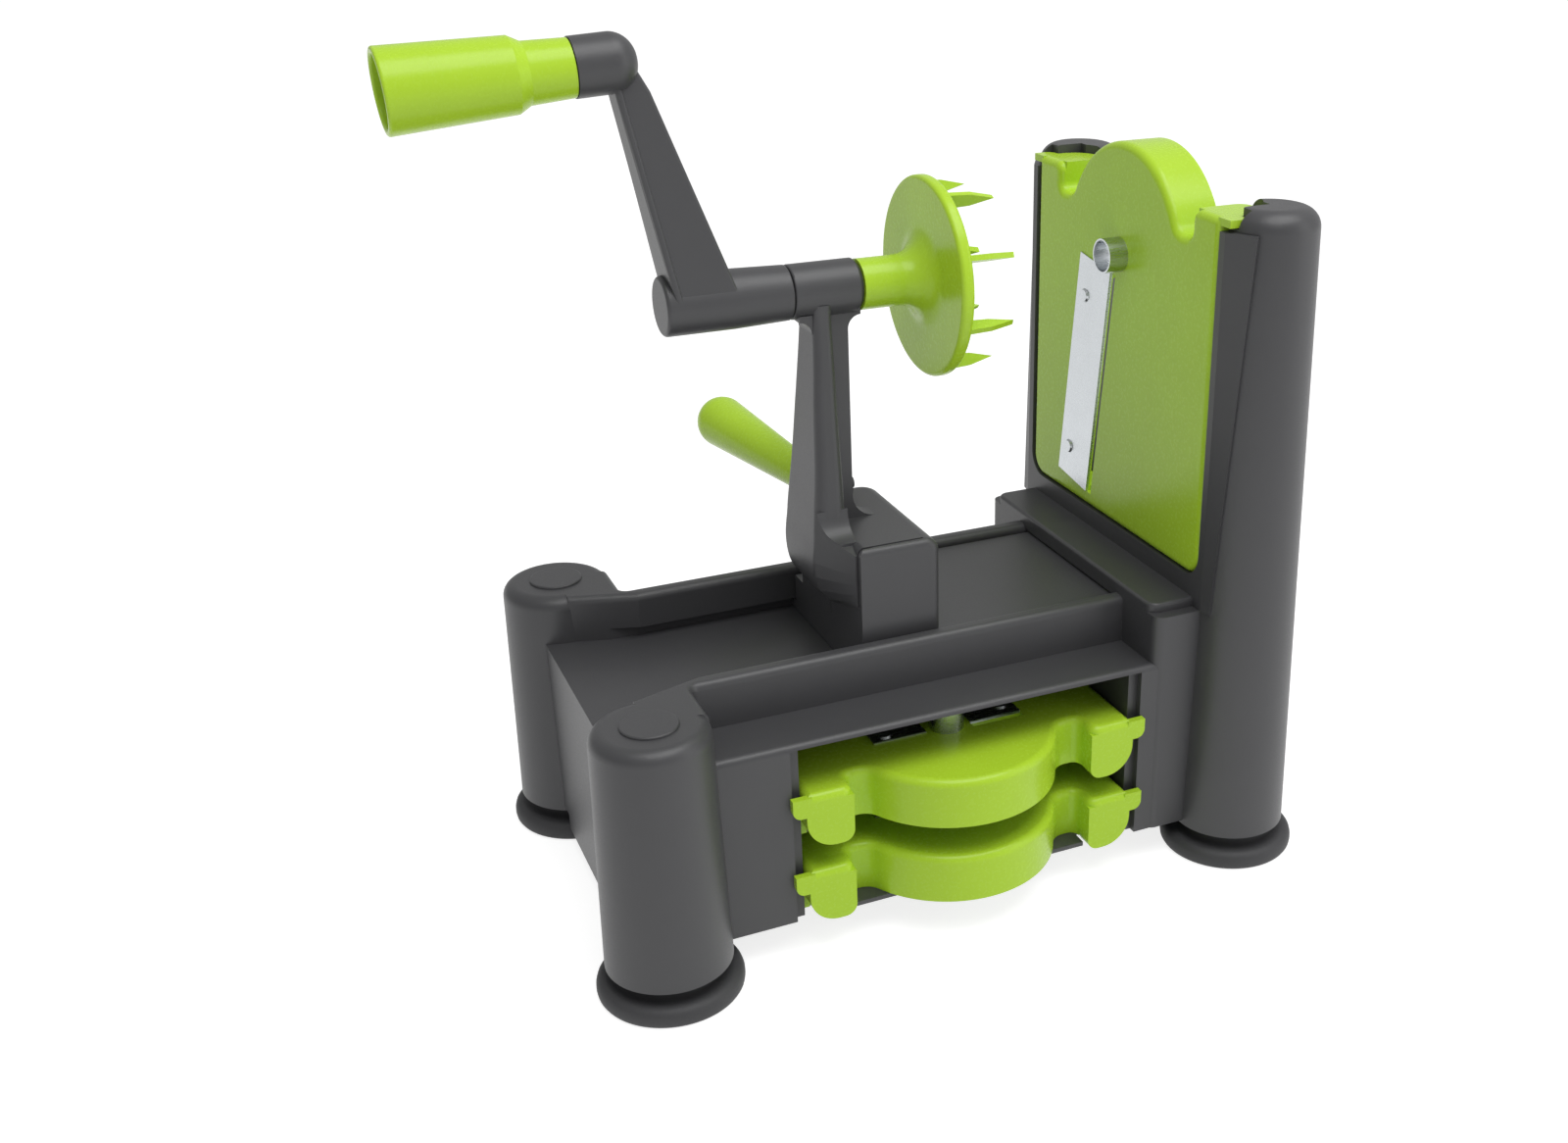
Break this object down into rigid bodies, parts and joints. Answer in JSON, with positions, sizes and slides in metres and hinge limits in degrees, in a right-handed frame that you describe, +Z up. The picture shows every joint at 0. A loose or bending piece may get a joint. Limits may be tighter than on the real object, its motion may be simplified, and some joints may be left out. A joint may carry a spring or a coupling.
{
  "type": "hand-cranked spiralizer",
  "caption": "Hand-cranked spiralizer: a base on suction feet, a sliding carriage with crank and pronged food holder, and a tower holding a cutting plate, with spare plates stored below.",
  "frame": {"origin": "on the table, at the middle of the whole machine's outline seen from above", "axes": "+Z up; +X from the crank towards the cutting plate, along the crank's axis and the carriage's travel; -Y towards the side that the spare plates slide out of"},
  "size_m": [0.2756, 0.177, 0.2813],
  "materials": {
    "charcoal_plastic": "satin moulded plastic, charcoal",
    "lime_plastic": "glossy moulded plastic, lime green",
    "white_plastic": "natural acetal, satin",
    "steel": "brushed stainless steel",
    "black_rubber": "soft dark grey rubber"
  },
  "bodies": {
    "base": {"base_body": "charcoal_plastic", "tower_frame": "charcoal_plastic", "tower_screws": "steel", "post_plug_near": "charcoal_plastic", "post_plug_far": "charcoal_plastic", "suction_foot_low_near": "black_rubber", "suction_foot_low_far": "black_rubber", "suction_foot_tower_near": "black_rubber", "suction_foot_tower_far": "black_rubber"},
    "carriage": {"carriage_body": "charcoal_plastic", "carriage_stop": "steel", "bearing_bush_left": "white_plastic", "bearing_bush_right": "white_plastic", "push_handle": "lime_plastic"},
    "crank": {"crank_arm": "charcoal_plastic", "hub_cross_pin": "steel", "drive_shaft": "steel", "food_holder": "lime_plastic", "holder_screw": "steel", "grip_pin": "steel", "grip_washer": "steel"},
    "grip": {"grip": "lime_plastic"},
    "ribbon_cutter": {"ribbon_plate": "lime_plastic", "ribbon_blade": "steel", "ribbon_blade_rivets": "steel", "ribbon_coring_tube": "steel"},
    "fine_cutter": {"fine_plate": "lime_plastic", "fine_blades": "steel", "fine_blade_rivets": "steel", "fine_comb": "steel", "fine_coring_tube": "steel"},
    "coarse_cutter": {"coarse_plate": "lime_plastic", "coarse_blades": "steel", "coarse_blade_rivets": "steel", "coarse_comb": "steel", "coarse_coring_tube": "steel"}
  },
  "joints": [
    {"name": "carriage_slide", "type": "slide", "parent": "base", "child": "carriage", "axis": [1, 0, 0], "range_m": [-0.067, 0.048]},
    {"name": "crank_spin", "type": "hinge", "parent": "carriage", "child": "crank", "pos_m": [-0.0121, -0.0045, 0.2014], "axis": [1, 0, 0], "continuous": true},
    {"name": "grip_spin", "type": "hinge", "parent": "crank", "child": "grip", "pos_m": [-0.0844, -0.0045, 0.2718], "axis": [-0.9979, 0, -0.0645], "continuous": true},
    {"name": "ribbon_plate_lift", "type": "slide", "parent": "base", "child": "ribbon_cutter", "axis": [0, 0, 1], "range_m": [0, 0.13]},
    {"name": "fine_plate_draw", "type": "slide", "parent": "base", "child": "fine_cutter", "axis": [0, -1, 0], "range_m": [0, 0.14]},
    {"name": "coarse_plate_draw", "type": "slide", "parent": "base", "child": "coarse_cutter", "axis": [0, -1, 0], "range_m": [0, 0.14]}
  ]
}
